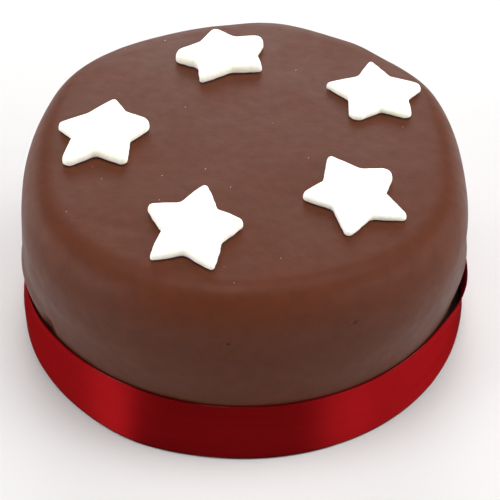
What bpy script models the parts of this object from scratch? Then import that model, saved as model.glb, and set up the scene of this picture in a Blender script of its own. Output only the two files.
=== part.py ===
"""Chocolate star cake: a round cake under chocolate sugarpaste, five white stars and a red satin ribbon.

Metres, +Z up. The origin is the middle of the cake's base, and the front of the cake faces -Y.
Bearings are in degrees from +X towards +Y.
"""

import math

import bmesh
import bpy

# The cake: a sponge 7 inches across and 3 inches deep, under marzipan and sugarpaste
CAKE_RADIUS = 0.0900
CAKE_HEIGHT = 0.0800
TOP_DOME = 0.0008
SHOULDER_RUN = 0.0150
SHOULDER_DROP = 0.0192
SHOULDER_EASE = 2.5

# The ribbon draws the side in to a slight waist
WAIST_DEPTH = 0.0024
WAIST_HEIGHT = 0.026
WAIST_SPREAD = 0.017

# How far the covered cake strays from a true round: lobes, size and the bearing of a lobe.
# The upper part strays in full and the part under the ribbon by LOW_SHARE.
PLAN_WAVES = (
    (2, 0.0018, 88),
    (3, 0.0005, -32),
    (4, 0.0016, -42),
    (5, 0.0005, 14),
    (6, 0.0008, 25),
)
LOW_SHARE = 0.10
SHOULDER_WAVES = ((1, 0.0007, 125), (2, 0.0018, 2))

# Soft swellings of the side, which the ribbon follows: bearing, height, half width, half height and
# distance, less than nothing where the side is drawn in
SIDE_SWELLINGS = (
    (-166, 0.0315, 0.0300, 0.0050, 0.0017),
    (-167, 0.012, 0.0300, 0.0090, 0.0008),
    (-165, 0.061, 0.0160, 0.0090, -0.0008),
    (-10, 0.034, 0.0240, 0.0110, 0.0021),
    (-20, 0.054, 0.0300, 0.0200, 0.0009),
    (31, 0.062, 0.0140, 0.0200, 0.0009),
    (56, 0.062, 0.0090, 0.0200, 0.0009),
    (82, 0.062, 0.0160, 0.0200, 0.0012),
    (94, 0.064, 0.0090, 0.0140, -0.0006),
    (162, 0.062, 0.0200, 0.0200, -0.0005),
)

# Dents in the side, which the ribbon spans: bearing, height, half width, half height and depth
SIDE_DENTS = (
    (-146, 0.029, 0.0038, 0.0040, 0.0014),
    (158, 0.050, 0.0160, 0.0200, 0.0006),
    (52, 0.042, 0.0200, 0.0240, 0.0007),
)

# Facets of the cake
CAKE_STEPS = 120
TOP_RINGS = 8
SHOULDER_RINGS = 7
SIDE_RINGS = 14
BASE_RINGS = 2

# The stars: rolled white sugarpaste, cut with a cutter about 40 mm across its points
ARMS = 5
STAR_EDGE = 0.0010
ARC_POINTS = 4
EDGE_POINTS = 1
PUCK_RADIUS = 0.0160
PUCK_RINGS = 3

# Where each star lies and how the soft paste was pulled, in millimetres and degrees: its distance from
# the cake's axis, its bearing, the turn of its first arm, its thickness, how full the sides of its arms
# are and the rounding of its valleys, then for each arm its reach before rounding, its lean, the reach
# of the valley after it and the rounding of its tip
MM = 0.001
STARS = {
    "star_back": {
        "ring": 52.8,
        "bearing": 99.3,
        "turn": 36,
        "thickness": 4.6,
        "fullness": 0.1,
        "valley_rounding": 2.4,
        "reaches": (23.0, 20.8, 23.2, 19.8, 17.8),
        "leans": (4, -5, 1, -10, 8),
        "valleys": (13.4, 13.6, 12.2, 10.0, 13.4),
        "roundings": (3.6, 2.4, 3.6, 1.2, 1.2),
    },
    "star_right": {
        "ring": 60.9,
        "bearing": 30.5,
        "turn": 21,
        "thickness": 3.3,
        "fullness": 0.1,
        "valley_rounding": 2.2,
        "reaches": (19.4, 20.2, 20.6, 25.2, 22.2),
        "leans": (-11, 1, 7, 5, -4),
        "valleys": (10.2, 10.8, 13.0, 13.6, 13.2),
        "roundings": (2.0, 1.6, 1.2, 3.6, 2.6),
    },
    "star_left": {
        "ring": 55.4,
        "bearing": 178.4,
        "turn": 16,
        "thickness": 4.4,
        "fullness": 0.1,
        "valley_rounding": 2.0,
        "reaches": (21.4, 19.6, 15.8, 26.6, 24.2),
        "leans": (-6, -13, 12, 9, -4),
        "valleys": (14.0, 9.8, 10.4, 14.6, 13.8),
        "roundings": (3.4, 1.8, 1.2, 2.6, 2.2),
    },
    "star_front": {
        "ring": 58.2,
        "bearing": -107.6,
        "turn": 7,
        "thickness": 4.2,
        "fullness": 0.3,
        "valley_rounding": 2.4,
        "reaches": (18.4, 24.2, 20.6, 21.0, 21.8),
        "leans": (3, 1, -6, 4, -4),
        "valleys": (12.4, 13.2, 10.6, 12.6, 12.0),
        "roundings": (1.4, 1.8, 1.4, 1.2, 1.2),
    },
    "star_near": {
        "ring": 53.3,
        "bearing": -42,
        "turn": 41,
        "thickness": 3.3,
        "fullness": 0.1,
        "valley_rounding": 2.2,
        "reaches": (22.6, 24.2, 19.8, 23.0, 23.0),
        "leans": (2, -3, -2, 5, -1),
        "valleys": (14.8, 12.8, 10.4, 13.2, 11.8),
        "roundings": (3.6, 1.4, 2.2, 1.8, 1.6),
    },
}

# The ribbon: one band of satin drawn tight, with its ends lapped at the back
RIBBON_WIDTH = 0.0262
RIBBON_THICKNESS = 0.0005
RIBBON_LIFT = 0.0004
RIBBON_ROWS = 4
LAP_BEARING = 90
LAP_STEPS = 6

# Where the band stands off the cake: bearing, half width, and distance at its lower and upper edge
STAND_OFFS = (
    (-17, 11, 0.0013, 0.0019),
    (4, 14, 0.0014, 0.0018),
    (-117, 12, 0.0010, 0.0000),
    (-150, 8, 0.0000, 0.0006),
)

# Clearance between pieces that touch
GAP = 0.0004

# Base colour and roughness
CHOCOLATE = ((0.155, 0.066, 0.045), 0.42)
WHITE_ICING = ((0.90, 0.89, 0.84), 0.55)
RED_SATIN = ((0.36, 0.008, 0.014), 0.28)


def clear_scene():
    for thing in list(bpy.data.objects):
        bpy.data.objects.remove(thing, do_unlink=True)


def wave(rows, bearing):
    """Sum of the lobes in rows, at a bearing in radians."""
    return sum(size * math.cos(lobes * (bearing - math.radians(lobe))) for lobes, size, lobe in rows)


def bump(distance, spread):
    return math.exp(-((distance / spread) ** 2))


def ramp(value):
    """Smooth rise from 0 to 1."""
    value = min(max(value, 0), 1)
    return value * value * (3 - 2 * value)


def turn_from(degrees, bearing):
    """Signed angle in radians from a bearing in degrees to one in radians."""
    return (bearing - math.radians(degrees) + math.pi) % math.tau - math.pi


def soft_marks(rows, bearing, height):
    """Sum of the swellings or dents in rows, at a bearing in radians and a height."""
    total = 0
    for degrees, middle, half_width, half_height, distance in rows:
        along = turn_from(degrees, bearing) * CAKE_RADIUS
        total += distance * bump(along, half_width) * bump(height - middle, half_height)
    return total


def drawn_side(bearing, height):
    """Distance of the cake's side from its axis, before its dents."""
    wall = CAKE_HEIGHT - SHOULDER_DROP
    share = LOW_SHARE + (1 - LOW_SHARE) * ramp((height - RIBBON_WIDTH) / (wall - RIBBON_WIDTH))
    reach = CAKE_RADIUS + share * wave(PLAN_WAVES, bearing) + soft_marks(SIDE_SWELLINGS, bearing, height)
    return reach - WAIST_DEPTH * bump(height - WAIST_HEIGHT, WAIST_SPREAD)


def side_reach(bearing, height):
    """Distance of the cake's side from its axis."""
    return drawn_side(bearing, height) - soft_marks(SIDE_DENTS, bearing, height)


def shoulder(bearing):
    """The rounded shoulder at a bearing: its run, its drop, and the height and reach of its lower end."""
    change = wave(SHOULDER_WAVES, bearing)
    run, drop = SHOULDER_RUN + change, SHOULDER_DROP + change
    height = CAKE_HEIGHT - drop
    return run, drop, height, side_reach(bearing, height)


def cake_top(x, y):
    """Height of the cake's upper surface at a point."""
    bearing, reach = math.atan2(y, x), math.hypot(x, y)
    run, drop, _, wall_reach = shoulder(bearing)
    flat = wall_reach - run
    past = min(max(reach - flat, 0) / run, 1)
    dome = TOP_DOME * (1 - (reach / flat) ** 2)
    return CAKE_HEIGHT + dome - drop * (1 - math.sqrt(1 - past**SHOULDER_EASE))


def even_profile():
    """Section of the cake before its unevenness, from the middle of the top to the middle of the base."""
    flat, wall = CAKE_RADIUS - SHOULDER_RUN, CAKE_HEIGHT - SHOULDER_DROP
    points = [(flat * ring / TOP_RINGS, CAKE_HEIGHT) for ring in range(TOP_RINGS + 1)]
    for ring in range(1, SHOULDER_RINGS + 1):
        angle = math.pi / 2 * ring / SHOULDER_RINGS
        past = math.sin(angle) ** (2 / SHOULDER_EASE)
        points.append((flat + SHOULDER_RUN * past, wall + SHOULDER_DROP * math.cos(angle)))
    points += [(CAKE_RADIUS, wall * (1 - ring / SIDE_RINGS)) for ring in range(1, SIDE_RINGS + 1)]
    points += [(CAKE_RADIUS * (1 - ring / BASE_RINGS), 0) for ring in range(1, BASE_RINGS + 1)]
    return points


def hand_covered(x, y, z):
    """Moves a point of the even turned cake to its place on the uneven one."""
    bearing, reach = math.atan2(y, x), math.hypot(x, y)
    flat, wall = CAKE_RADIUS - SHOULDER_RUN, CAKE_HEIGHT - SHOULDER_DROP
    run, drop, height, wall_reach = shoulder(bearing)
    if z <= wall:
        z = z / wall * height
        reach *= side_reach(bearing, z) / CAKE_RADIUS
    elif reach <= flat:
        reach *= (wall_reach - run) / flat
        z = cake_top(reach * math.cos(bearing), reach * math.sin(bearing))
    else:
        reach = wall_reach - run + run * (reach - flat) / SHOULDER_RUN
        dome = TOP_DOME * (1 - (reach / (wall_reach - run)) ** 2)
        z = height + drop * (z - wall) / SHOULDER_DROP + dome
    return reach * math.cos(bearing), reach * math.sin(bearing), z


def turned(name, profile, steps):
    """A closed solid turned from a profile that starts and ends on the axis."""
    mesh = bpy.data.meshes.new(name)
    edges = [(i, i + 1) for i in range(len(profile) - 1)]
    mesh.from_pydata([(reach, 0, z) for reach, z in profile], edges, [])
    thing = bpy.data.objects.new(name, mesh)
    bpy.context.scene.collection.objects.link(thing)
    screw = thing.modifiers.new("Turn", "SCREW")
    screw.axis = "Z"
    screw.steps = screw.render_steps = steps
    screw.use_merge_vertices = True
    screw.merge_threshold = 0.00001
    made = bpy.data.meshes.new_from_object(thing.evaluated_get(bpy.context.evaluated_depsgraph_get()))
    thing.modifiers.clear()
    thing.data = made
    shape = bmesh.new()
    shape.from_mesh(made)
    bmesh.ops.remove_doubles(shape, verts=shape.verts, dist=0.00001)
    bmesh.ops.recalc_face_normals(shape, faces=shape.faces)
    shape.to_mesh(made)
    shape.free()
    return thing


def reshape(thing, move):
    for vertex in thing.data.vertices:
        vertex.co = move(*vertex.co)
    thing.data.shade_smooth()


def make_cake():
    cake = turned("cake", even_profile(), CAKE_STEPS)
    reshape(cake, hand_covered)
    return cake


def star_corners(row):
    """The sharp corners of a star and their roundings: each arm's tip, then the valley after it."""
    bearings = [math.radians(row["turn"] + 360 / ARMS * arm + row["leans"][arm]) for arm in range(ARMS)]
    bearings.append(bearings[0] + math.tau)
    corners = []
    for arm in range(ARMS):
        middle = (bearings[arm] + bearings[arm + 1]) / 2
        tip = (row["reaches"][arm], bearings[arm], row["roundings"][arm])
        valley = (row["valleys"][arm], middle, -row["valley_rounding"])
        for reach, bearing, rounding in (tip, valley):
            place = (reach * MM * math.cos(bearing), reach * MM * math.sin(bearing))
            corners.append((place, rounding * MM))
    return corners


def corner_arc(before, corner, after, radius):
    """A rounded corner as (point, outward normal) pairs, for an outline that runs anticlockwise."""
    into = math.atan2(corner[1] - before[1], corner[0] - before[0])
    out_of = math.atan2(after[1] - corner[1], after[0] - corner[0])
    turn = (out_of - into + math.pi) % math.tau - math.pi
    back = radius * math.tan(turn / 2)
    start = (corner[0] - back * math.cos(into), corner[1] - back * math.sin(into))
    centre = (start[0] - radius * math.sin(into), start[1] + radius * math.cos(into))
    arc = []
    for step in range(ARC_POINTS):
        facing = into + turn * step / (ARC_POINTS - 1) - math.pi / 2
        normal = (math.cos(facing), math.sin(facing))
        arc.append(((centre[0] + radius * normal[0], centre[1] + radius * normal[1]), normal))
    return arc


def rounded_star(row):
    """The star's outline as (point, outward normal) pairs, with points along each full side."""
    corners = star_corners(row)
    arcs = []
    for i, (corner, rounding) in enumerate(corners):
        before, after = corners[i - 1][0], corners[(i + 1) % len(corners)][0]
        arcs.append(corner_arc(before, corner, after, rounding))
    outline = []
    for arc, following in zip(arcs, arcs[1:] + arcs[:1]):
        outline += arc
        (from_x, from_y), normal = arc[-1]
        (to_x, to_y), _ = following[0]
        for step in range(1, EDGE_POINTS + 1):
            share = step / (EDGE_POINTS + 1)
            out = row["fullness"] * MM * 4 * share * (1 - share)
            x = from_x + (to_x - from_x) * share + normal[0] * out
            y = from_y + (to_y - from_y) * share + normal[1] * out
            outline.append(((x, y), normal))
    return outline


def puck_profile(thickness):
    """Section of a star before it gets its outline: flat top, rounded upper edge, small lower edge."""
    inner, foot = PUCK_RADIUS - STAR_EDGE, STAR_EDGE / 3
    points = [(inner * ring / PUCK_RINGS, thickness) for ring in range(PUCK_RINGS + 1)]
    for angle in (math.pi / 6, math.pi / 3, math.pi / 2):
        rounding = STAR_EDGE * (1 - math.cos(angle))
        points.append((inner + STAR_EDGE * math.sin(angle), thickness - rounding))
    points += [(PUCK_RADIUS, foot), (PUCK_RADIUS - foot, 0), (inner / 2, 0), (0, 0)]
    return points


def make_star(name, row):
    """A turned puck whose columns are drawn out to the star's outline and laid on the cake."""
    outline = rounded_star(row)
    columns = len(outline)
    inner = PUCK_RADIUS - STAR_EDGE
    middle_x = row["ring"] * MM * math.cos(math.radians(row["bearing"]))
    middle_y = row["ring"] * MM * math.sin(math.radians(row["bearing"]))

    def to_star(x, y, z):
        column = round(math.atan2(y, x) / math.tau * columns) % columns
        reach = math.hypot(x, y)
        point, normal = outline[column]
        inset = min(PUCK_RADIUS - reach, STAR_EDGE)
        share = min(reach / inner, 1)
        across = middle_x + (point[0] - normal[0] * inset) * share
        along = middle_y + (point[1] - normal[1] * inset) * share
        return across, along, cake_top(across, along) + GAP + z

    star = turned(name, puck_profile(row["thickness"] * MM), columns)
    reshape(star, to_star)
    return star


def ribbon_reach(bearing, height):
    """Distance of the ribbon's inner face from the cake's axis."""
    reach = drawn_side(bearing, height) + GAP
    rise = (height - RIBBON_LIFT) / RIBBON_WIDTH
    for degrees, half_width, lower, upper in STAND_OFFS:
        distance = lower + (upper - lower) * rise
        reach += distance * bump(turn_from(degrees, bearing), math.radians(half_width))
    return reach


def make_ribbon():
    """A flat strip bent round the cake, then given its thickness."""
    step = math.tau / CAKE_STEPS
    columns = CAKE_STEPS + LAP_STEPS
    shape = bmesh.new()
    bmesh.ops.create_grid(shape, x_segments=columns, y_segments=RIBBON_ROWS, size=0.5)
    for vertex in shape.verts:
        column, rise = (vertex.co.x + 0.5) * columns, vertex.co.y + 0.5
        bearing = math.radians(LAP_BEARING) + (column - LAP_STEPS / 2) * step
        height = RIBBON_LIFT + rise * RIBBON_WIDTH
        over = min(max((column - CAKE_STEPS + LAP_STEPS) / LAP_STEPS, 0), 1)
        reach = ribbon_reach(bearing, height) + over * (RIBBON_THICKNESS + GAP)
        vertex.co = (reach * math.cos(bearing), reach * math.sin(bearing), height)
    mesh = bpy.data.meshes.new("ribbon")
    shape.to_mesh(mesh)
    shape.free()
    mesh.shade_smooth()
    ribbon = bpy.data.objects.new("ribbon", mesh)
    bpy.context.scene.collection.objects.link(ribbon)
    wall = ribbon.modifiers.new("Thickness", "SOLIDIFY")
    wall.thickness = RIBBON_THICKNESS
    wall.offset = 1
    return ribbon


def finish(thing, finish_values, collection):
    """Puts a piece in the cake's collection, with a material of its own."""
    for other in list(thing.users_collection):
        other.objects.unlink(thing)
    collection.objects.link(thing)
    colour, roughness = finish_values
    material = bpy.data.materials.new(thing.name)
    material.use_nodes = True
    shader = material.node_tree.nodes["Principled BSDF"]
    shader.inputs["Base Color"].default_value = (*colour, 1)
    shader.inputs["Roughness"].default_value = roughness
    shader.inputs["Metallic"].default_value = 0
    thing.data.materials.clear()
    thing.data.materials.append(material)


def main():
    clear_scene()
    collection = bpy.data.collections.new("Chocolate star cake")
    bpy.context.scene.collection.children.link(collection)
    finish(make_cake(), CHOCOLATE, collection)
    for name, row in STARS.items():
        finish(make_star(name, row), WHITE_ICING, collection)
    finish(make_ribbon(), RED_SATIN, collection)


main()
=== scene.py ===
# Chocolate star cake: a round cake under chocolate sugarpaste, five cut stars and a satin ribbon
# Metres, +Z up. The front faces -Y, and bearings run from +X towards +Y.
import math
from functools import partial

import bmesh
import bpy
import numpy as np
from mathutils import Matrix, Vector, noise


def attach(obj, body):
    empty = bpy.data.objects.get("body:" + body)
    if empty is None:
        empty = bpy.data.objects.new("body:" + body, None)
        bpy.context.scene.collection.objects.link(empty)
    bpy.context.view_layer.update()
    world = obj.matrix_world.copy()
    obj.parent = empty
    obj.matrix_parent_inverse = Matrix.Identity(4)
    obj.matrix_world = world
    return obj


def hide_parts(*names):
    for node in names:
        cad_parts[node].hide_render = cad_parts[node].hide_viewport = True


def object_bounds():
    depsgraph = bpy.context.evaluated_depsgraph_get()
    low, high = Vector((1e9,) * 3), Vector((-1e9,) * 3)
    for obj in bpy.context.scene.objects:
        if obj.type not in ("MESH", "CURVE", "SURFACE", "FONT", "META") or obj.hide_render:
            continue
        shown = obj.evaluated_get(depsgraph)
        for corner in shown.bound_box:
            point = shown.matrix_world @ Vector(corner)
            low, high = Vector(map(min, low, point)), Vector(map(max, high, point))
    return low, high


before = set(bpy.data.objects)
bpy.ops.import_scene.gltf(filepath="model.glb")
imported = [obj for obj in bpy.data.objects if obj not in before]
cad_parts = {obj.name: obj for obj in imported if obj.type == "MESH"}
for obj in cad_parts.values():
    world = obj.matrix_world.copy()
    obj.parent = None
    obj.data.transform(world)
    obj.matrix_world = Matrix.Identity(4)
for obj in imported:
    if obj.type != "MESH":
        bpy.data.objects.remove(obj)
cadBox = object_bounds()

mm = 0.001
fullTurn = 2 * math.pi
quarterTurn = math.pi / 2
weld = 0.00001  # points of a mesh closer than this are one
aboveCake = 0.2  # height from which rays look down at the paste

cadSize = [round(side, 4) for side in cadBox[1] - cadBox[0]]
print("frame:", len(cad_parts), "nodes, box", cadSize)


# Small helpers for nodes, meshes and trees

def wire(tree, made, wires):  # wires: input name or number -> value or socket
    for key, value in wires.items():
        if isinstance(value, bpy.types.NodeSocket):
            tree.links.new(value, made.inputs[key])
        else:
            made.inputs[key].default_value = value


def addNode(tree, kind, wires=None, **settings):
    made = tree.nodes.new(kind)
    for name, value in settings.items():
        setattr(made, name, value)
    wire(tree, made, wires or {})
    return made


def mathNode(tree, operation, *values):
    made = addNode(tree, "ShaderNodeMath", dict(enumerate(values)), operation=operation)
    return made.outputs[0]


def vectorNode(tree, operation, *values):
    made = addNode(tree, "ShaderNodeVectorMath", dict(enumerate(values)), operation=operation)
    return made.outputs["Value" if operation == "LENGTH" else "Vector"]


def scaleNode(tree, vector, factor):
    made = addNode(tree, "ShaderNodeVectorMath", {0: vector, "Scale": factor}, operation="SCALE")
    return made.outputs["Vector"]


def splitNode(tree, vector):
    return addNode(tree, "ShaderNodeSeparateXYZ", {0: vector}).outputs


def joinNode(tree, x, y, z=0.0):
    return addNode(tree, "ShaderNodeCombineXYZ", {0: x, 1: y, 2: z}).outputs[0]


def noiseNode(tree, where, cells, detail=3.0):
    made = addNode(tree, "ShaderNodeTexNoise", {"Vector": where, "Scale": cells, "Detail": detail})
    return made.outputs["Fac"]


def rangeNode(tree, value, given, wanted=(0.0, 1.0), shape="LINEAR"):
    return addNode(tree, "ShaderNodeMapRange", {
        "Value": value, "From Min": given[0], "From Max": given[1],
        "To Min": wanted[0], "To Max": wanted[1]}, interpolation_type=shape).outputs[0]


def mixNode(tree, share, first, second, blend="MIX"):  # a colour is three numbers or a socket
    wires = {"Fac": share}
    for label, colour in (("Color1", first), ("Color2", second)):
        wires[label] = colour if isinstance(colour, bpy.types.NodeSocket) else (*colour, 1)
    return addNode(tree, "ShaderNodeMixRGB", wires, blend_type=blend).outputs[0]


def bumpNode(tree, height, strength=1.0):  # height in metres
    wires = {"Height": height, "Strength": strength, "Distance": 1.0}
    return addNode(tree, "ShaderNodeBump", wires).outputs[0]


def newMaterial(name):
    material = bpy.data.materials.new(name)
    material.use_nodes = True
    tree = material.node_tree
    return material, tree, tree.nodes["Principled BSDF"]


def objectPlace(tree):
    return addNode(tree, "ShaderNodeTexCoord").outputs["Object"]


def newObject(name, mesh):
    thing = bpy.data.objects.new(name, mesh)
    bpy.context.scene.collection.objects.link(thing)
    return thing


def readPoints(mesh):
    points = np.zeros(len(mesh.vertices) * 3)
    mesh.vertices.foreach_get("co", points)
    return points.reshape(-1, 3)


def writePoints(mesh, points):
    mesh.vertices.foreach_set("co", points.astype(np.float32).ravel())
    mesh.update()


def faceOutwards(mesh):
    shape = bmesh.new()
    shape.from_mesh(mesh)
    bmesh.ops.recalc_face_normals(shape, faces=shape.faces)
    shape.to_mesh(mesh)
    shape.free()


def applied(thing):  # the evaluated result as a plain mesh, with no modifier left
    seen = thing.evaluated_get(bpy.context.evaluated_depsgraph_get())
    mesh = bpy.data.meshes.new_from_object(seen)
    thing.modifiers.clear()
    thing.data = mesh
    mesh.name = thing.name
    return thing


def grow(thing, tree, values):  # runs a Geometry Nodes tree, with its inputs given by name
    modifier = thing.modifiers.new(tree.name, "NODES")
    modifier.node_group = tree
    for socket in tree.interface.items_tree:
        if socket.in_out == "INPUT" and socket.name in values:
            modifier[socket.identifier] = values[socket.name]
    return applied(thing)


def newTree(name, kinds, sizes):  # kinds: input -> kind of socket; sizes: input -> first value
    tree = bpy.data.node_groups.new(name, "GeometryNodeTree")

    def socket(label, kind, way="INPUT"):
        return tree.interface.new_socket(label, in_out=way, socket_type="NodeSocket" + kind)

    socket("Geometry", "Geometry", "OUTPUT")
    socket("Geometry", "Geometry")
    for label, kind in kinds.items():
        socket(label, kind)
    for label, value in sizes.items():
        socket(label, "Int" if isinstance(value, int) else "Float").default_value = value
    return tree, addNode(tree, "NodeGroupInput").outputs


def endTree(tree, geometry, material):  # real mesh with its material, as the export drops instances
    real = addNode(tree, "GeometryNodeRealizeInstances", {0: geometry}).outputs[0]
    dressed = addNode(tree, "GeometryNodeSetMaterial", {"Geometry": real, "Material": material})
    addNode(tree, "NodeGroupOutput", {0: dressed.outputs[0]})


def shapeOf(tree, thing):
    return addNode(tree, "GeometryNodeObjectInfo", {"Object": thing}).outputs["Geometry"]


def rayDown(tree, target, start):  # where the target lies below a point
    return addNode(tree, "GeometryNodeRaycast", {
        "Target Geometry": target, "Source Position": start, "Ray Direction": (0, 0, -1),
        "Ray Length": 1.0}).outputs["Hit Position"]


def putAt(tree, geometry, place):
    wires = {"Geometry": geometry, "Position": place}
    return addNode(tree, "GeometryNodeSetPosition", wires).outputs[0]


def inRow(count):  # edges that join points one after another
    return [(i, i + 1) for i in range(count - 1)]


# Camera: the eye looks down on the front of the cake

eye = {
    "place": (0, -0.4131, 0.3902),
    "yaw": 0.415,  # degrees, to the right
    "pitch": 41.58,  # degrees, downwards
    "roll": 0.969,  # degrees
    "lens": 97.2,  # millimetres, as is the sensor
    "sensor": 36,
}


def makeCamera():
    yaw, pitch, roll = (math.radians(eye[key]) for key in ("yaw", "pitch", "roll"))
    ahead = math.cos(pitch)
    forward = Vector((math.sin(yaw) * ahead, math.cos(yaw) * ahead, -math.sin(pitch)))
    level = forward.cross(Vector((0, 0, 1))).normalized()
    upright = level.cross(forward)
    right = level * math.cos(roll) + upright * math.sin(roll)
    up = right.cross(forward)
    data = bpy.data.cameras.new("eye")
    data.lens = eye["lens"]
    data.sensor_width = eye["sensor"]
    camera = bpy.data.objects.new("eye", data)
    turn = Matrix((right, up, -forward)).transposed().to_4x4()
    camera.matrix_world = Matrix.Translation(eye["place"]) @ turn
    bpy.context.scene.collection.objects.link(camera)
    bpy.context.scene.camera = camera


makeCamera()


# Light: a dim pale room with soft glows: three above, one behind and two low to each side

room = {
    "fill": 0.05,  # brightness in every other direction
    "seen": 0.90,  # of the backdrop, as the camera sees it
    "tint": (1.0, 0.985, 0.975),
    "core": 0.5,  # share of a glow's half sizes that is fully bright
}

# bearing and elevation of the middle, half width and half height in degrees, brightness
glows = {
    "above": (0, 90, 4000, 20, 9.4),  # so wide that it goes all the way round
    "aboveLeft": (180, 65, 25, 15, 5.0),
    "aboveRight": (0, 65, 35, 15, 6.0),
    "behind": (90, 25, 32, 20, 5.5),
    "leftWindow": (180, 0, 55, 25, 4.7),
    "leftStrip": (209, 20, 14, 30, 4.3),
    "rightWindow": (0, 20, 42, 26, 4.0),
    "rightStrip": (-42, 15, 17, 30, 4.6),
}

table = {
    "side": 6.0,
    "squares": 8,
    "drop": 0.0002,  # below the cake
    "paint": (0.580, 0.579, 0.581),
    "cloudShade": 0.98,  # of the paint, where it is darkest
    "cloudSize": 3.0,
    "roughness": 0.6,
}


def makeRoom():
    world = bpy.data.worlds.new("room")
    bpy.context.scene.world = world
    world.use_nodes = True
    tree = world.node_tree
    tree.nodes.clear()
    calc = partial(mathNode, tree)
    parts = splitNode(tree, addNode(tree, "ShaderNodeTexCoord").outputs["Generated"])
    around = calc("ARCTAN2", parts["Y"], parts["X"])
    above = calc("ARCSINE", parts["Z"])
    total = room["fill"]
    for bearing, elevation, halfWidth, halfHeight, brightness in glows.values():
        turn = calc("WRAP", calc("SUBTRACT", around, math.radians(bearing)), math.pi, -math.pi)
        rise = calc("SUBTRACT", above, math.radians(elevation))
        across = calc("DIVIDE", turn, math.radians(halfWidth))
        up = calc("DIVIDE", rise, math.radians(halfHeight))
        off = calc("SQRT", calc("ADD", calc("POWER", across, 2.0), calc("POWER", up, 2.0)))
        glow = rangeNode(tree, off, (room["core"], 1.0), (brightness, 0.0), "SMOOTHSTEP")
        total = calc("ADD", total, glow)
    looking = addNode(tree, "ShaderNodeLightPath").outputs["Is Camera Ray"]
    level = rangeNode(tree, looking, (0.0, 1.0), (total, room["seen"]))
    sky = addNode(tree, "ShaderNodeBackground", {"Color": (*room["tint"], 1), "Strength": level})
    addNode(tree, "ShaderNodeOutputWorld", {"Surface": sky.outputs[0]})


def makeTable():
    shape = bmesh.new()
    bmesh.ops.create_grid(
        shape, x_segments=table["squares"], y_segments=table["squares"], size=table["side"] / 2,
        matrix=Matrix.Translation((0, 0, -table["drop"])))
    mesh = bpy.data.meshes.new("table")
    shape.to_mesh(mesh)
    shape.free()
    material, tree, shader = newMaterial("paleTable")
    clouds = noiseNode(tree, objectPlace(tree), table["cloudSize"], detail=2.0)
    shaded = [table["cloudShade"] * part for part in table["paint"]]
    wire(tree, shader, {
        "Base Color": mixNode(tree, clouds, shaded, table["paint"]),
        "Roughness": table["roughness"]})
    mesh.materials.append(material)
    newObject("table", mesh)


makeRoom()
makeTable()
bpy.context.scene.view_settings.view_transform = "Standard"
print("camera, room and lights")


# Chocolate paste: rolled sugarpaste, satin matt and faintly mottled, with painted shade that makes
# the side darker and less red than the top

paste = {
    "base": (0.0755, 0.0195, 0.0076),
    "deep": (0.0665, 0.0166, 0.0061),
    "warm": (0.0805, 0.0197, 0.0070),
    "side": (0.90, 0.86, 0.76),  # painted shade: share of the colour that is left on the side, darker and less red than the top
    "paintedShadeFrom": (0.066, 0.052),  # heights between which the painted shade comes in
    "roughness": (0.42, 0.54),
    "specular": 0.10,
    "sheen": 0.041,
    "cloudSize": 40,  # noise cells per metre: broad clouds, small clouds and grain
    "mottleSize": 210,
    "grainSize": 1500,
    "grainDepth": 0.00003,
    "mottleDepth": 0.00012,
    "mottleShare": 0.8,  # of the deep tone, where the mottle is darkest
    "warmFrom": (0.35, 0.65),  # noise between which a tone, a smudge or the gloss changes
    "deepFrom": (0.35, 0.70),
    "tanFrom": (0.9, 1.7),
    "dullFrom": (0.55, 0.95),
    "dullMottle": 0.5,
    "subsurface": 0.03,
    "subsurfaceDepth": 0.002,
    "tan": (1.05, 1.12, 0.80),  # of a smudge, as a share of the base
}

smudges = (  # middle, reach each way in metres and strength
    ((0.0165, 0.0120, 0.081), (0.0045, 0.0030, 0.003), 0.9),
    ((-0.0385, -0.0825, 0.049), (0.0040, 0.0040, 0.002), 0.9),
    ((-0.006, -0.090, 0.063), (0.0016, 0.0030, 0.0022), 0.6),
)


def makePaste():
    material, tree, shader = newMaterial("chocolatePaste")
    calc = partial(mathNode, tree)
    where = objectPlace(tree)
    clouds = noiseNode(tree, where, paste["cloudSize"])
    mottle = noiseNode(tree, where, paste["mottleSize"])
    grain = noiseNode(tree, where, paste["grainSize"], detail=2.0)

    tint = mixNode(tree, rangeNode(tree, clouds, paste["warmFrom"]), paste["base"], paste["warm"])
    dark = calc("MULTIPLY", rangeNode(tree, mottle, paste["deepFrom"]), paste["mottleShare"])
    tint = mixNode(tree, dark, tint, paste["deep"])
    tan = [part * share for part, share in zip(paste["base"], paste["tan"])]
    for middle, reach, strength in smudges:
        offset = vectorNode(tree, "DIVIDE", vectorNode(tree, "SUBTRACT", where, middle), reach)
        ragged = calc("ADD", vectorNode(tree, "LENGTH", offset), mottle)
        mask = rangeNode(tree, ragged, paste["tanFrom"], (strength, 0.0))
        tint = mixNode(tree, mask, tint, tan)
    # painted shade: below the shoulder the side gets a darker, less red colour
    onSide = rangeNode(tree, splitNode(tree, where)["Z"], paste["paintedShadeFrom"], shape="SMOOTHSTEP")

    uneven = calc("ADD", clouds, calc("MULTIPLY", mottle, paste["dullMottle"]))
    relief = calc("ADD", calc("MULTIPLY", mottle, paste["mottleDepth"]),
                  calc("MULTIPLY", grain, paste["grainDepth"]))
    wire(tree, shader, {
        # the tint times the painted side shade
        "Base Color": mixNode(tree, onSide, tint, paste["side"], "MULTIPLY"),
        "Roughness": rangeNode(tree, uneven, paste["dullFrom"], paste["roughness"]),
        "Normal": bumpNode(tree, relief),
        "Specular IOR Level": paste["specular"],
        "Sheen Weight": paste["sheen"],
        "Subsurface Weight": paste["subsurface"],
        "Subsurface Scale": paste["subsurfaceDepth"]})
    return material


# The covered cake: a turned body whose round is uneven, with a soft shoulder and a drawn-in waist

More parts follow.
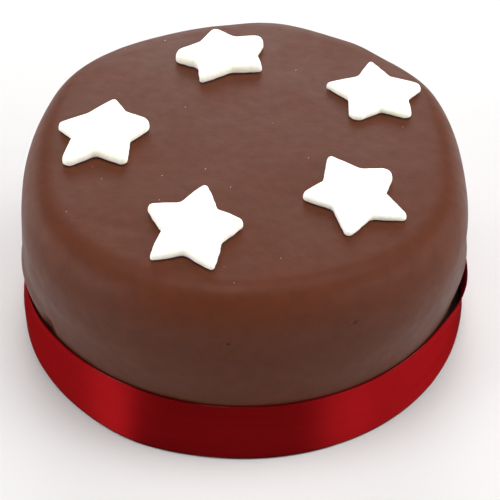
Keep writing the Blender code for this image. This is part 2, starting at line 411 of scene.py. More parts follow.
cover = {
    "radius": 0.0900,
    "height": 0.0800,
    "dome": 0.0008,
    "run": 0.0150,  # of the shoulder, inwards and downwards
    "drop": 0.0192,
    "ease": 2.5,  # fullness of the shoulder's curve: 2 is a plain ellipse
    "waist": (0.0024, 0.026, 0.017),  # depth, height and spread
    "lobes": (  # how many, how far out and the bearing of the first
        (2, 0.0018, 88), (3, 0.0005, -32), (4, 0.0016, -42), (5, 0.0005, 14), (6, 0.0008, 25)),
    "lowShare": 0.10,  # of the lobes that is left under the ribbon
    "shoulderLobes": ((1, 0.0007, 125), (2, 0.0018, 2)),
    "columns": 480,
    "rings": (46, 46, 82, 6),  # top, shoulder, side and base
}

swellings = (  # bearing, height, half width, half height and distance
    (-166, 0.0315, 0.0300, 0.0050, 0.0017),
    (-167, 0.012, 0.0300, 0.0090, 0.0008),
    (-165, 0.061, 0.0160, 0.0090, -0.0008),
    (-10, 0.034, 0.0240, 0.0110, 0.0021),
    (-6, 0.003, 0.0270, 0.0120, 0.0012),
    (-20, 0.054, 0.0300, 0.0200, 0.0009),
    (31, 0.062, 0.0140, 0.0200, 0.0009),
    (56, 0.062, 0.0090, 0.0200, 0.0009),
    (82, 0.062, 0.0160, 0.0200, 0.0012),
    (94, 0.064, 0.0090, 0.0140, -0.0006),
    (162, 0.062, 0.0200, 0.0200, -0.0005),
)

dents = (  # the same, but inwards
    (-146, 0.029, 0.0038, 0.0040, 0.0014),
    (-14, 0.020, 0.0150, 0.0090, 0.0018),
    (158, 0.050, 0.0160, 0.0200, 0.0006),
    (52, 0.042, 0.0200, 0.0240, 0.0007),
)

handWork = {  # the fine unevenness that hands and smoother leave
    "broadDepth": 0.00016,
    "broadCells": 34,  # per metre
    "fineDepth": 0.00005,
    "fineCells": 120,
    "pleatDepth": 0.00010,  # upright waves of the side
    "pleats": 34,
    "pleatDrift": 6,  # how fast they change with height
    "pleatsBelow": 0.074,
    "pleatFade": 0.02,
    "baseFade": 0.004,  # all of it fades out this far above the base
    "seed": (3.1, 7.7, 1.9),
}

marks = {
    "pits": (  # on the side: bearing, height, half width, half height, depth and rim
        (-92.9, 0.0606, 0.0007, 0.0006, 0.00055, 0.00016),
        (-94.4, 0.0586, 0.0006, 0.0004, 0.00022, 0.00008),
        (-64.7, 0.0636, 0.0010, 0.0009, 0.00042, 0.00003),
    ),
    "pitRim": (1.7, 0.6),  # its place and spread, in sizes of the pit
    "pitsAbove": 0.04,
    "folds": (  # on the top: start, end, half width and rise
        ((-0.052, -0.050), (-0.038, -0.054), 0.0020, -0.00010),
        ((-0.060, 0.054), (-0.033, 0.065), 0.0020, 0.00012),
    ),
    "foldEnds": 0.3,  # share of the rise that is left at the ends of a fold
    "foldsAbove": 0.05,
    "finerReach": 0.0045,  # the mesh is finer this far round a pit
    "finerCuts": 4,
    "finerEdge": 0.0006,  # only edges longer than this are cut
}


def lobesAt(rows, bearing):
    return sum(size * np.cos(count * (bearing - math.radians(lobe))) for count, size, lobe in rows)


def bump(distance, spread):
    return np.exp(-((distance / spread) ** 2))


def ease(value):
    value = np.clip(value, 0, 1)
    return value * value * (3 - 2 * value)


def turnFrom(degrees, bearing):
    return (bearing - math.radians(degrees) + math.pi) % fullTurn - math.pi


def softMarks(rows, bearing, height):
    total = 0
    for degrees, middle, halfWidth, halfHeight, distance in rows:
        along = turnFrom(degrees, bearing) * cover["radius"]
        total = total + distance * bump(along, halfWidth) * bump(height - middle, halfHeight)
    return total


def drawnSide(bearing, height):  # the side before its dents, as the ribbon finds it
    wall = cover["height"] - cover["drop"]
    low = band["width"]
    share = cover["lowShare"] + (1 - cover["lowShare"]) * ease((height - low) / (wall - low))
    depth, middle, spread = cover["waist"]
    reach = cover["radius"] + share * lobesAt(cover["lobes"], bearing)
    reach = reach + softMarks(swellings, bearing, height)
    return reach - depth * bump(height - middle, spread)


def coverSide(bearing, height):
    return drawnSide(bearing, height) - softMarks(dents, bearing, height)


def coverSection():  # from the middle of the top, over the shoulder, down to the middle of the base
    top, shoulder, side, base = cover["rings"]
    radius, height, run, drop = (cover[key] for key in ("radius", "height", "run", "drop"))
    flat, wall = radius - run, height - drop
    points = [(flat * ring / top, height) for ring in range(top + 1)]
    for ring in range(1, shoulder + 1):
        angle = quarterTurn * ring / shoulder
        out = run * math.sin(angle) ** (2 / cover["ease"])
        points.append((flat + out, wall + drop * math.cos(angle)))
    points += [(radius, wall * (1 - ring / side)) for ring in range(1, side + 1)]
    points += [(radius * (1 - ring / base), 0) for ring in range(1, base + 1)]
    return points


def turned(name, section, columns):
    mesh = bpy.data.meshes.new(name)
    mesh.from_pydata([(reach, 0, z) for reach, z in section], inRow(len(section)), [])
    thing = newObject(name, mesh)
    screw = thing.modifiers.new("turn", "SCREW")
    screw.axis = "Z"
    screw.steps = screw.render_steps = columns
    screw.use_merge_vertices = True
    screw.merge_threshold = weld
    applied(thing)
    shape = bmesh.new()
    shape.from_mesh(thing.data)
    bmesh.ops.remove_doubles(shape, verts=shape.verts, dist=weld)
    bmesh.ops.recalc_face_normals(shape, faces=shape.faces)
    shape.to_mesh(thing.data)
    shape.free()
    return thing


def handCovered(points):  # the even turned cake to the uneven one
    x, y, z = points.T
    bearing, reach = np.arctan2(y, x), np.hypot(x, y)
    flat, wall = cover["radius"] - cover["run"], cover["height"] - cover["drop"]
    change = lobesAt(cover["shoulderLobes"], bearing)
    run, drop = cover["run"] + change, cover["drop"] + change
    height = cover["height"] - drop
    wallReach = coverSide(bearing, height)
    newFlat = wallReach - run
    sideHeight = z / wall * height
    onSide, onTop = z <= wall + weld, reach <= flat + weld
    sideReach = reach * coverSide(bearing, sideHeight) / cover["radius"]
    shoulderReach = newFlat + run * (reach - flat) / cover["run"]
    newReach = np.where(onSide, sideReach, np.where(onTop, reach * newFlat / flat, shoulderReach))
    dome = cover["dome"] * (1 - (newReach / newFlat) ** 2)
    shoulderZ = height + drop * (z - wall) / cover["drop"] + dome
    newZ = np.where(onSide, sideHeight, np.where(onTop, cover["height"] + dome, shoulderZ))
    return np.stack([newReach * np.cos(bearing), newReach * np.sin(bearing), newZ], 1)


def finerRoundPits(mesh):
    shape = bmesh.new()
    shape.from_mesh(mesh)
    radius = cover["radius"]
    for degrees, height, *_ in marks["pits"]:
        around = math.radians(degrees)
        middle = Vector((radius * math.cos(around), radius * math.sin(around), height))
        faces = [face for face in shape.faces
                 if (face.calc_center_median() - middle).length < marks["finerReach"]]
        edges = dict.fromkeys(edge for face in faces for edge in face.edges
                              if edge.calc_length() > marks["finerEdge"])
        bmesh.ops.subdivide_edges(
            shape, edges=list(edges), cuts=marks["finerCuts"], use_grid_fill=True)
    shape.to_mesh(mesh)
    shape.free()


def marked(points):  # how far each point is moved along its normal by small marks
    x, y, z = points.T
    bearing = np.arctan2(y, x)
    rimPlace, rimSpread = marks["pitRim"]
    rise = np.zeros(len(points))
    for degrees, height, halfWidth, halfHeight, depth, rim in marks["pits"]:
        along = turnFrom(degrees, bearing) * cover["radius"]
        off = np.hypot(along / halfWidth, (z - height) / halfHeight)
        pit = rim * bump(off - rimPlace, rimSpread) - depth * bump(off, 1)
        rise += (z > marks["pitsAbove"]) * pit
    for (startX, startY), (endX, endY), halfWidth, height in marks["folds"]:
        runX, runY = endX - startX, endY - startY
        done = ((x - startX) * runX + (y - startY) * runY) / np.hypot(runX, runY) ** 2
        done = np.clip(done, 0, 1)
        away = np.hypot(x - startX - done * runX, y - startY - done * runY)
        taper = marks["foldEnds"] + (1 - marks["foldEnds"]) * np.sin(done * math.pi)
        rise += (z > marks["foldsAbove"]) * height * bump(away, halfWidth) * taper
    return rise


def smoothedByHand(mesh):  # soft waves in the paste, none in the flat base
    points = readPoints(mesh)
    normals = np.zeros(len(points) * 3)
    mesh.vertices.foreach_get("normal", normals)
    normals = normals.reshape(-1, 3)
    offset = Vector(handWork["seed"])
    broad, fine, pleat = [], [], []
    for x, y, z in points:
        spot = Vector((x, y, z))
        broad.append(noise.noise(spot * handWork["broadCells"] + offset))
        fine.append(noise.noise(spot * handWork["fineCells"] - offset))
        around = math.atan2(y, x)
        ring = Vector((math.cos(around), math.sin(around), z * handWork["pleatDrift"]))
        pleat.append(noise.noise(ring * handWork["pleats"] / fullTurn + offset))
    upright = ease((handWork["pleatsBelow"] - points[:, 2]) / handWork["pleatFade"])
    rise = handWork["broadDepth"] * np.array(broad) + handWork["fineDepth"] * np.array(fine)
    rise += handWork["pleatDepth"] * np.array(pleat) * upright
    rise *= ease(points[:, 2] / handWork["baseFade"])
    rise += marked(points)
    writePoints(mesh, points + normals * rise[:, None])


def makeCake(material):
    cake = turned("coveredCake", coverSection(), cover["columns"])
    finerRoundPits(cake.data)
    writePoints(cake.data, handCovered(readPoints(cake.data)))
    smoothedByHand(cake.data)
    cake.data.shade_smooth()
    cake.data.materials.append(material)
    return cake


# Stars: white paste rolled thin, cut and pulled a little as it was lifted. Millimetres and degrees.

# place and turn of each star, then its arms: reach, lean, the valley after it and how blunt it is
stars = {
    "back": {
        "ring": 52.8, "bearing": 99.3, "turn": 36,
        "thickness": 4.6, "fullness": 0.1, "valleyRounding": 2.4,
        "reaches": (23.0, 20.8, 23.2, 19.8, 17.8), "leans": (4, -5, 1, -10, 8),
        "valleys": (13.4, 13.6, 12.2, 10.0, 13.4), "roundings": (3.6, 2.4, 3.6, 1.2, 1.2),
    },
    "right": {
        "ring": 60.9, "bearing": 30.5, "turn": 21,
        "thickness": 3.3, "fullness": 0.1, "valleyRounding": 2.2,
        "reaches": (19.4, 20.2, 20.6, 25.2, 22.2), "leans": (-11, 1, 7, 5, -4),
        "valleys": (10.2, 10.8, 13.0, 13.6, 13.2), "roundings": (2.0, 1.2, 0.8, 3.6, 2.6),
    },
    "left": {
        "ring": 55.4, "bearing": 178.4, "turn": 16,
        "thickness": 4.4, "fullness": 0.1, "valleyRounding": 2.0,
        "reaches": (21.4, 19.6, 16.1, 26.6, 24.2), "leans": (-6, -13, 12, 9, -4),
        "valleys": (14.0, 9.8, 10.4, 14.6, 13.8), "roundings": (3.4, 1.6, 0.7, 2.6, 2.2),
    },
    "front": {
        "ring": 58.2, "bearing": -107.6, "turn": 7,
        "thickness": 4.2, "fullness": 0.3, "valleyRounding": 2.4,
        "reaches": (18.4, 24.2, 20.6, 21.0, 21.8), "leans": (3, 1, -6, 4, -4),
        "valleys": (12.4, 13.2, 10.6, 12.6, 12.0), "roundings": (1.0, 1.6, 1.2, 1.0, 1.2),
    },
    "near": {
        "ring": 53.3, "bearing": -42, "turn": 41,
        "thickness": 3.3, "fullness": 0.1, "valleyRounding": 2.2,
        "reaches": (22.6, 24.2, 19.8, 23.0, 23.0), "leans": (2, -3, -2, 5, -1),
        "valleys": (14.8, 12.8, 10.4, 13.2, 11.8), "roundings": (3.6, 1.4, 2.2, 1.8, 1.6),
    },
}

starCut = {  # inputs of the star tree: metres, and shares of the size
    "Edge Rounding": 0.0010,
    "Edge Draw": 0.030,  # how far the top is drawn in towards the middle
    "Edge Drop": 0.74,  # of the thickness that the soft edge takes up
    "Foot": 0.22,  # of the thickness that curls under
    "Puck Radius": 0.0160,  # of the round section that is stretched to the outline
    "Outline Step": 0.00042,
    "Softening": 6,  # passes that smooth the outline of the soft edge
    "Pillow": 0.00025,  # how far the middle swells
    "Clearance": 0.0003,
    "Nicks": 0.00036,  # unevenness of the cut
    "Nick Cells": 360.0,  # per metre
    "Ripple": 0.00010,  # unevenness of the top
    "Ripple Cells": 110.0,
    "Weld": 0.000004,
}

starSteps = {"corner": 8, "top": 12, "edge": 12, "wall": 3, "foot": 6, "base": 6}  # of its curves

icing = {
    "base": (0.93, 0.945, 0.84),
    "shade": (0.90, 0.915, 0.77),
    "cloudSize": 160.0,
    "roughness": 0.62,
    "subsurface": 0.9,
    "subsurfaceReach": (0.9, 1.0, 0.65),
    "subsurfaceDepth": 0.004,
    "grainSize": 900,
    "grainDepth": 0.00005,
}


def makeIcing():
    material, tree, shader = newMaterial("whitePaste")
    where = objectPlace(tree)
    clouds = noiseNode(tree, where, icing["cloudSize"])
    grain = noiseNode(tree, where, icing["grainSize"])
    wire(tree, shader, {
        "Base Color": mixNode(tree, clouds, icing["base"], icing["shade"]),
        "Normal": bumpNode(tree, mathNode(tree, "MULTIPLY", grain, icing["grainDepth"])),
        "Roughness": icing["roughness"],
        "Subsurface Weight": icing["subsurface"],
        "Subsurface Radius": icing["subsurfaceReach"],
        "Subsurface Scale": icing["subsurfaceDepth"]})
    return material


def starTree():  # the cutter's corners as a closed loop of edges -> a soft star laid on the cake
    tree, given = newTree("cutStar", {
        "Cake": "Object", "Centre": "Vector", "Thickness": "Float", "Fullness": "Float",
        "Seed": "Float", "Material": "Material"}, starCut)
    puck, rounding = given["Puck Radius"], given["Edge Rounding"]
    thickness = given["Thickness"]
    calc, spot = partial(mathNode, tree), partial(joinNode, tree)

    def outward():  # in the plane of the outline, which runs anticlockwise
        tangent = addNode(tree, "GeometryNodeInputTangent").outputs[0]
        return vectorNode(tree, "CROSS_PRODUCT", tangent, (0, 0, 1))

    def pushed(geometry, distance, **more):
        return addNode(tree, "GeometryNodeSetPosition", {
            "Geometry": geometry, "Offset": vectorNode(tree, "MULTIPLY", outward(), distance),
            **more}).outputs[0]

    def keep(geometry, value):  # a vector held on the points of a curve
        held = addNode(tree, "GeometryNodeCaptureAttribute", {0: geometry}, domain="POINT")
        held.capture_items.new("VECTOR", "held")
        tree.links.new(value, held.inputs[1])
        return held.outputs[0], held.outputs[1]

    def noiseAt(place, cells):  # from -1 to 1
        made = addNode(tree, "ShaderNodeTexNoise", {
            "Vector": place, "W": given["Seed"], "Scale": cells, "Detail": 2.0},
            noise_dimensions="4D")
        return calc("MULTIPLY_ADD", made.outputs["Fac"], 2.0, -1.0)

    place = addNode(tree, "GeometryNodeInputPosition").outputs[0]
    index = addNode(tree, "GeometryNodeInputIndex").outputs[0]
    blunt = addNode(tree, "GeometryNodeInputNamedAttribute", {"Name": "rounding"},
                    data_type="FLOAT").outputs[0]

    # outline: corners joined, sides filled out a little, corners rounded, edges nicked
    corners = addNode(tree, "GeometryNodeMeshToCurve", {0: given["Geometry"]}).outputs[0]
    halved = addNode(tree, "GeometryNodeSubdivideCurve", {"Curve": corners, "Cuts": 1}).outputs[0]
    fuller = pushed(halved, given["Fullness"], Selection=calc("MODULO", index, 2.0))
    rounded = addNode(tree, "GeometryNodeFilletCurve", {
        "Curve": fuller, "Radius": blunt, "Count": starSteps["corner"],
        "Limit Radius": True}, mode="POLY").outputs[0]
    even = addNode(tree, "GeometryNodeResampleCurve", {
        "Curve": rounded, "Length": given["Outline Step"]}, mode="LENGTH").outputs[0]
    nick = calc("MULTIPLY", noiseAt(place, given["Nick Cells"]), given["Nicks"])
    outline, sharp = keep(pushed(even, nick), place)
    blurred = addNode(tree, "GeometryNodeBlurAttribute", {
        "Value": place, "Iterations": given["Softening"]}, data_type="FLOAT_VECTOR").outputs[0]
    outline, soft = keep(putAt(tree, outline, blurred), place)
    outline, away = keep(outline, outward())

    # section of the cut: top, rounded edge, wall, small foot, underside
    inner = calc("SUBTRACT", puck, rounding)
    foot = calc("MULTIPLY", thickness, given["Foot"])
    under = calc("SUBTRACT", puck, foot)
    drop = calc("MULTIPLY", thickness, given["Edge Drop"])
    lip = calc("SUBTRACT", thickness, drop)

    def run(start, end, stretch):
        line = addNode(tree, "GeometryNodeCurvePrimitiveLine", {"Start": start, "End": end})
        return addNode(tree, "GeometryNodeResampleCurve", {
            "Curve": line.outputs[0], "Count": starSteps[stretch]}).outputs[0]

    def bend(centre, across, down, startAngle, stretch):
        arc = addNode(tree, "GeometryNodeCurveArc", {
            "Resolution": starSteps[stretch], "Radius": 1.0, "Start Angle": startAngle,
            "Sweep Angle": -quarterTurn})
        return addNode(tree, "GeometryNodeTransform", {
            "Geometry": arc.outputs[0], "Translation": centre,
            "Scale": spot(across, down)}).outputs[0]

    stretches = (
        run(spot(0.0, thickness), spot(inner, thickness), "top"),
        bend(spot(inner, lip), rounding, drop, quarterTurn, "edge"),
        run(spot(puck, lip), spot(puck, foot), "wall"),
        bend(spot(under, foot), foot, foot, 0.0, "foot"),
        run(spot(under, 0.0), spot(0.0, 0.0), "base"),
    )
    joined = addNode(tree, "GeometryNodeJoinGeometry")
    for stretch in reversed(stretches):
        tree.links.new(stretch, joined.inputs[0])
    section, cut = keep(joined.outputs[0], place)
    swept = addNode(tree, "GeometryNodeCurveToMesh", {
        "Curve": outline, "Profile Curve": section}).outputs[0]

    # every point: in from the outline by the section's inset, towards the middle by its share
    cutParts = splitNode(tree, cut)
    inset = calc("MINIMUM", calc("SUBTRACT", puck, cutParts["X"]), rounding)
    softness = calc("DIVIDE", inset, rounding)
    high = calc("DIVIDE", cutParts["Y"], thickness)
    draw = calc("MULTIPLY", given["Edge Draw"], calc("MULTIPLY", softness, high))
    share = calc("MULTIPLY", calc("MINIMUM", calc("DIVIDE", cutParts["X"], inner), 1.0),
                 calc("SUBTRACT", 1.0, draw))
    # inputs 0, 4 and 5 are the factor and the two vectors
    between = addNode(tree, "ShaderNodeMix", {0: softness, 4: sharp, 5: soft}, data_type="VECTOR")
    moved = vectorNode(tree, "SUBTRACT", between.outputs[1], scaleNode(tree, away, inset))
    flatSpot = vectorNode(tree, "ADD", scaleNode(tree, moved, share), given["Centre"])
    swell = calc("MULTIPLY", given["Pillow"], calc("SUBTRACT", 1.0, calc("MULTIPLY", share, share)))
    wavy = calc("MULTIPLY", noiseAt(flatSpot, given["Ripple Cells"]), given["Ripple"])
    lift = calc("MULTIPLY", high, calc("ADD", swell, wavy))

    # laid on the cake's surface
    flatParts = splitNode(tree, flatSpot)
    above = spot(flatParts["X"], flatParts["Y"], aboveCake)
    surface = splitNode(tree, rayDown(tree, shapeOf(tree, given["Cake"]), above))["Z"]
    height = calc("ADD", calc("ADD", surface, given["Clearance"]), calc("ADD", cutParts["Y"], lift))
    laid = putAt(tree, swept, spot(flatParts["X"], flatParts["Y"], height))
    closed = addNode(tree, "GeometryNodeMergeByDistance", {
        "Geometry": laid, "Distance": given["Weld"]}).outputs[0]
    smooth = addNode(tree, "GeometryNodeSetShadeSmooth", {"Geometry": closed}).outputs[0]
    endTree(tree, smooth, given["Material"])
    return tree


def starCorners(row):  # ten sharp corners: each tip, then the valley after it
    apart = 360 / len(row["leans"])
    bearings = [math.radians(row["turn"] + apart * arm + lean)
                for arm, lean in enumerate(row["leans"])]
    bearings.append(bearings[0] + fullTurn)
    corners, roundings = [], []
    for arm in range(len(row["leans"])):
        halfway = (bearings[arm] + bearings[arm + 1]) / 2
        tip = (row["reaches"][arm], bearings[arm], row["roundings"][arm])
        valley = (row["valleys"][arm], halfway, row["valleyRounding"])
        for reach, bearing, rounding in (tip, valley):
            corners.append((reach * mm * math.cos(bearing), reach * mm * math.sin(bearing), 0))
            roundings.append(rounding * mm)
    return corners, roundings


def makeStar(name, row, tree, cake, material):
    corners, roundings = starCorners(row)
    mesh = bpy.data.meshes.new("star")
    mesh.from_pydata(corners, inRow(len(corners)) + [(len(corners) - 1, 0)], [])
    mesh.attributes.new("rounding", "FLOAT", "POINT").data.foreach_set("value", roundings)
    star = newObject("star" + name.capitalize(), mesh)
    around, ring = math.radians(row["bearing"]), row["ring"] * mm
    grow(star, tree, {
        **starCut, "Cake": cake, "Material": material, "Seed": float(row["turn"]),
        "Centre": (ring * math.cos(around), ring * math.sin(around), 0),
        "Thickness": row["thickness"] * mm, "Fullness": row["fullness"] * mm})
    faceOutwards(star.data)
    return star


# Ribbon: one band of red satin drawn tight, lapped at the back, with a woven edge

band = {
    "width": 0.0262,
    "lift": 0.0004,  # of the lower rim, off the floor
    "gap": 0.0002,  # to the cake
    "thickness": 0.0004,
    "lapBearing": 90,
    "lap": 18,  # degrees that the ends overlap
    "lapRise": 0.0006,
    "columns": 756,
    "rows": 16,
    "standOffs": (  # bearing, half width, and distance at the lower and the upper edge
        (-16, 12, 0.0000, 0.0021),
        (6, 13, 0.0000, 0.0015),
        (-117, 12, 0.0010, 0.0000),
        (-150, 8, 0.0000, 0.0005),
    ),
    "ripple": 0.00012,
    "rippleMiddle": 0.3,  # keeps most of it off the paste
    "rippleCells": (5.0, 30.0),  # round the cake and up the band
    "slimmer": 0.0005,  # the foot of the cake, on the whole, than its radius
}
lappedTurn = math.radians(360 + band["lap"])

selvedge = {"Spacing": 0.00052, "Bead Radius": 0.00024, "Stretch": 1.5}
selvedgeRows = {"ribbonEdgeLow": 0.012, "ribbonEdgeHigh": 0.988}  # share of the width below each

satin = {
    "base": (0.247, 0.0056, 0.0074),
    "deep": (0.188, 0.0038, 0.0053),
    "streaks": (14, 420, 1),  # cells per metre along and across
    "metallic": 0.85,
    "roughness": 0.50,
    "specular": 0.05,
    "glancing": (0.53, 0.30, 0.30),  # tint of the sheen seen edge on
    "anisotropy": 1.0,
    "sheenTurn": 0.25,  # the sheen runs across the long threads
    "threads": 5200,  # warp threads per metre across the band
    "picks": 2600,
    "pickShare": 0.4,
    "weaveDepth": 0.000012,
    "weaveStrength": 0.5,
    # darker rim colour: partly the woven edge, partly painted shade at the top and bottom rims
    "edge": (0.105, 0.0018, 0.0030),
    "darkRimFade": (0.0003, 0.0008),  # from the rim, over which the darker rim colour fades out
}

edgeThread = {"twistSize": 2400.0, "roughness": 0.5}


def makeSatin():
    material, tree, shader = newMaterial("redSatin")
    calc = partial(mathNode, tree)
    where = addNode(tree, "ShaderNodeUVMap", uv_map="ribbonUV").outputs[0]
    parts = splitNode(tree, where)
    drawn = addNode(tree, "ShaderNodeMapping", {"Vector": where, "Scale": satin["streaks"]})
    streaks = noiseNode(tree, drawn.outputs[0], 1.0)
    tint = mixNode(tree, streaks, satin["deep"], satin["base"])
    # darker within a millimetre of each rim: partly the woven edge, partly painted shade of the gap
    # to the cake and of the floor below
    toEdge = calc("MINIMUM", parts["Y"], calc("SUBTRACT", band["width"], parts["Y"]))
    darkRimShare = rangeNode(tree, toEdge, satin["darkRimFade"], (1.0, 0.0))
    warp = calc("SINE", calc("MULTIPLY", parts["Y"], satin["threads"] * math.pi))
    pick = calc("SINE", calc("MULTIPLY", parts["X"], satin["picks"] * math.pi))
    weave = calc("ADD", warp, calc("MULTIPLY", pick, satin["pickShare"]))
    weave = calc("MULTIPLY", weave, satin["weaveDepth"])
    tangent = addNode(tree, "ShaderNodeTangent", direction_type="UV_MAP", uv_map="ribbonUV")
    wire(tree, shader, {
        "Base Color": mixNode(tree, darkRimShare, tint, satin["edge"]),
        "Normal": bumpNode(tree, weave, satin["weaveStrength"]),
        "Tangent": tangent.outputs[0],
        "Metallic": satin["metallic"],
        "Roughness": satin["roughness"],
        "Specular IOR Level": satin["specular"],
        "Specular Tint": (*satin["glancing"], 1),
        "Anisotropic": satin["anisotropy"],
        "Anisotropic Rotation": satin["sheenTurn"]})
    return material


def makeSelvedgeThread():
    material, tree, shader = newMaterial("redThread")
    twist = noiseNode(tree, objectPlace(tree), edgeThread["twistSize"], detail=1.0)
    wire(tree, shader, {
        # the beads take the darker rim colour too: partly their own, partly painted shade at the
        # rims
        "Base Color": mixNode(tree, twist, satin["edge"], satin["deep"]),
        "Roughness": edgeThread["roughness"]})
    return material


def bandReach(bearing, height):
    rise = (height - band["lift"]) / band["width"]
    reach = drawnSide(bearing, height) + band["gap"]
    for degrees, halfWidth, lower, upper in band["standOffs"]:
        distance = lower + (upper - lower) * rise
        reach = reach + distance * bump(turnFrom(degrees, bearing), math.radians(halfWidth))
    return reach


def bandPoints(along, up):  # along and up run from 0 to 1
    travelled = along * (360 + band["lap"])
    bearing = np.radians(band["lapBearing"] - band["lap"] / 2 + travelled)
    height = band["lift"] + up * band["width"]
    over = np.clip((travelled - 360 + band["lap"]) / band["lap"], 0, 1)
    reach = bandReach(bearing, height) + over * band["lapRise"]
    return reach, bearing, height


def makeRibbon(material):  # a flat grid, from -0.5 to 0.5 each way, is wound round the cake
    shape = bmesh.new()
    bmesh.ops.create_grid(shape, x_segments=band["columns"], y_segments=band["rows"], size=0.5)
    layer = shape.loops.layers.uv.new("ribbonUV")
    length = lappedTurn * (cover["radius"] + band["gap"])
    for face in shape.faces:
        for loop in face.loops:
            flat = loop.vert.co
            loop[layer].uv = ((flat.x + 0.5) * length, (flat.y + 0.5) * band["width"])
    mesh = bpy.data.meshes.new("satinRibbon")
    shape.to_mesh(mesh)
    shape.free()
    along, up, _ = readPoints(mesh).T + 0.5
    reach, bearing, height = bandPoints(along, up)
    roundCells, upCells = band["rippleCells"]
    wrinkle = np.array([
        noise.noise(Vector((math.cos(turn) * roundCells, math.sin(turn) * roundCells, level)))
        for turn, level in zip(bearing, height * upCells)])
    reach = reach + band["ripple"] * (wrinkle + band["rippleMiddle"])
    writePoints(mesh, np.stack([reach * np.cos(bearing), reach * np.sin(bearing), height], 1))
    mesh.shade_smooth()
    mesh.materials.append(material)
    ribbon = newObject("satinRibbon", mesh)
    wall = ribbon.modifiers.new("cloth", "SOLIDIFY")
    wall.thickness = band["thickness"]
    wall.offset = 1
    applied(ribbon)
    return ribbon


def selvedgeTree():  # an edge path -> a row of small overlapping stitches along it
    tree, given = newTree("wovenEdge", {"Material": "Material"}, selvedge)
    path = addNode(tree, "GeometryNodeMeshToCurve", {0: given["Geometry"]}).outputs[0]
    even = addNode(tree, "GeometryNodeResampleCurve", {
        "Curve": path, "Length": given["Spacing"]}, mode="LENGTH").outputs[0]
    tangent = addNode(tree, "GeometryNodeInputTangent").outputs[0]
    turn = addNode(tree, "FunctionNodeAlignRotationToVector", {"Vector": tangent}, axis="X")
    bead = addNode(tree, "GeometryNodeMeshIcoSphere", {
        "Radius": given["Bead Radius"], "Subdivisions": 2}).outputs["Mesh"]
    row = addNode(tree, "GeometryNodeInstanceOnPoints", {
        "Points": even, "Instance": bead, "Rotation": turn.outputs[0],
        "Scale": joinNode(tree, given["Stretch"], 1.0, 1.0)}).outputs[0]
    smooth = addNode(tree, "GeometryNodeSetShadeSmooth", {"Geometry": row}).outputs[0]
    endTree(tree, smooth, given["Material"])
    return tree


def makeSelvedge(name, up, tree, material):
    along = np.linspace(0, 1, band["columns"] + 1)
    reach, bearing, height = bandPoints(along, np.full_like(along, up))
    reach = reach + band["thickness"] / 2
    points = np.stack([reach * np.cos(bearing), reach * np.sin(bearing), height], 1)
    mesh = bpy.data.meshes.new(name)
    mesh.from_pydata([tuple(point) for point in points], inRow(len(points)), [])
    thread = newObject(name, mesh)
    grow(thread, tree, {**selvedge, "Material": material})
    return thread


# Sugar: a few pale grains left on the paste

sugar = {
    "Smallest": 0.00008,  # half sizes
    "Largest": 0.00017,
    "Density": 700.0,  # grains per square metre of top
    "Lowest": 0.0785,  # only on the top
    "Seed": 11,
}

sugarSpots = (  # bearing in degrees and ring in millimetres of the grains that show most
    (-162, 59), (-154, 58), (-142, 38), (-126, 24), (-145, 77),
    (-129, 48), (66, 51), (-26, 27), (-79, 69), (-92, 80),
)


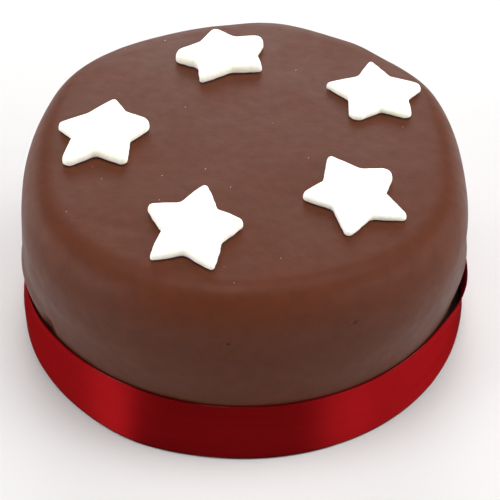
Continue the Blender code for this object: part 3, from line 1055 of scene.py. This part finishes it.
def sugarTree():  # points above the cake -> grains below them, among scattered ones
    tree, given = newTree("sugarGrains", {"Cake": "Object", "Material": "Material"}, sugar)
    cakeShape = shapeOf(tree, given["Cake"])
    place = addNode(tree, "GeometryNodeInputPosition").outputs[0]
    onTop = mathNode(tree, "GREATER_THAN", splitNode(tree, place)["Z"], given["Lowest"])
    scattered = addNode(tree, "GeometryNodeDistributePointsOnFaces", {
        "Mesh": cakeShape, "Selection": onTop,
        "Density": given["Density"], "Seed": given["Seed"]}).outputs["Points"]
    chosen = addNode(tree, "GeometryNodeMeshToPoints", {"Mesh": given["Geometry"]}).outputs[0]
    chosen = putAt(tree, chosen, rayDown(tree, cakeShape, place))
    both = addNode(tree, "GeometryNodeJoinGeometry")
    for points in (chosen, scattered):
        tree.links.new(points, both.inputs[0])
    grain = addNode(tree, "GeometryNodeMeshIcoSphere", {"Radius": 1.0, "Subdivisions": 1})
    # inputs 2 and 3 are the least and most of a number, and 1 is the most of a vector
    size = addNode(tree, "FunctionNodeRandomValue", {
        2: given["Smallest"], 3: given["Largest"], "Seed": given["Seed"]}, data_type="FLOAT")
    turn = addNode(tree, "FunctionNodeRandomValue", {
        1: (fullTurn, fullTurn, fullTurn), "Seed": given["Seed"]}, data_type="FLOAT_VECTOR")
    grains = addNode(tree, "GeometryNodeInstanceOnPoints", {
        "Points": both.outputs[0], "Instance": grain.outputs["Mesh"],
        "Rotation": turn.outputs[0], "Scale": size.outputs[1]})
    endTree(tree, grains.outputs[0], given["Material"])
    return tree


def makeSugar(cake, material):
    spots = []
    for degrees, ring in sugarSpots:
        around = math.radians(degrees)
        spots.append((ring * mm * math.cos(around), ring * mm * math.sin(around), aboveCake))
    mesh = bpy.data.meshes.new("sugarGrains")
    mesh.from_pydata(spots, [], [])
    grains = newObject("sugarGrains", mesh)
    grow(grains, sugarTree(), {**sugar, "Cake": cake, "Material": material})
    faceOutwards(grains.data)
    return grains


# Put together

chocolatePaste = makePaste()
whitePaste = makeIcing()
redSatin = makeSatin()
redThread = makeSelvedgeThread()

cakePiece = makeCake(chocolatePaste)
print("cake:", len(cakePiece.data.polygons), "faces")
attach(cakePiece, "root")
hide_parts("cake")

cutStar = starTree()
for starName, starRow in stars.items():
    starPiece = makeStar(starName, starRow, cutStar, cakePiece, whitePaste)
    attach(starPiece, "root")
    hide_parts("star_" + starName)
    print(starPiece.name + ":", len(starPiece.data.polygons), "faces")

ribbonPiece = makeRibbon(redSatin)
wovenEdge = selvedgeTree()
edgePieces = [makeSelvedge(name, up, wovenEdge, redThread) for name, up in selvedgeRows.items()]
for piece in (ribbonPiece, *edgePieces):
    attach(piece, "root")
    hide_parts("ribbon")

sugarPiece = makeSugar(cakePiece, whitePaste)
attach(sugarPiece, "root")
print("sugar:", len(sugarPiece.data.polygons), "faces")
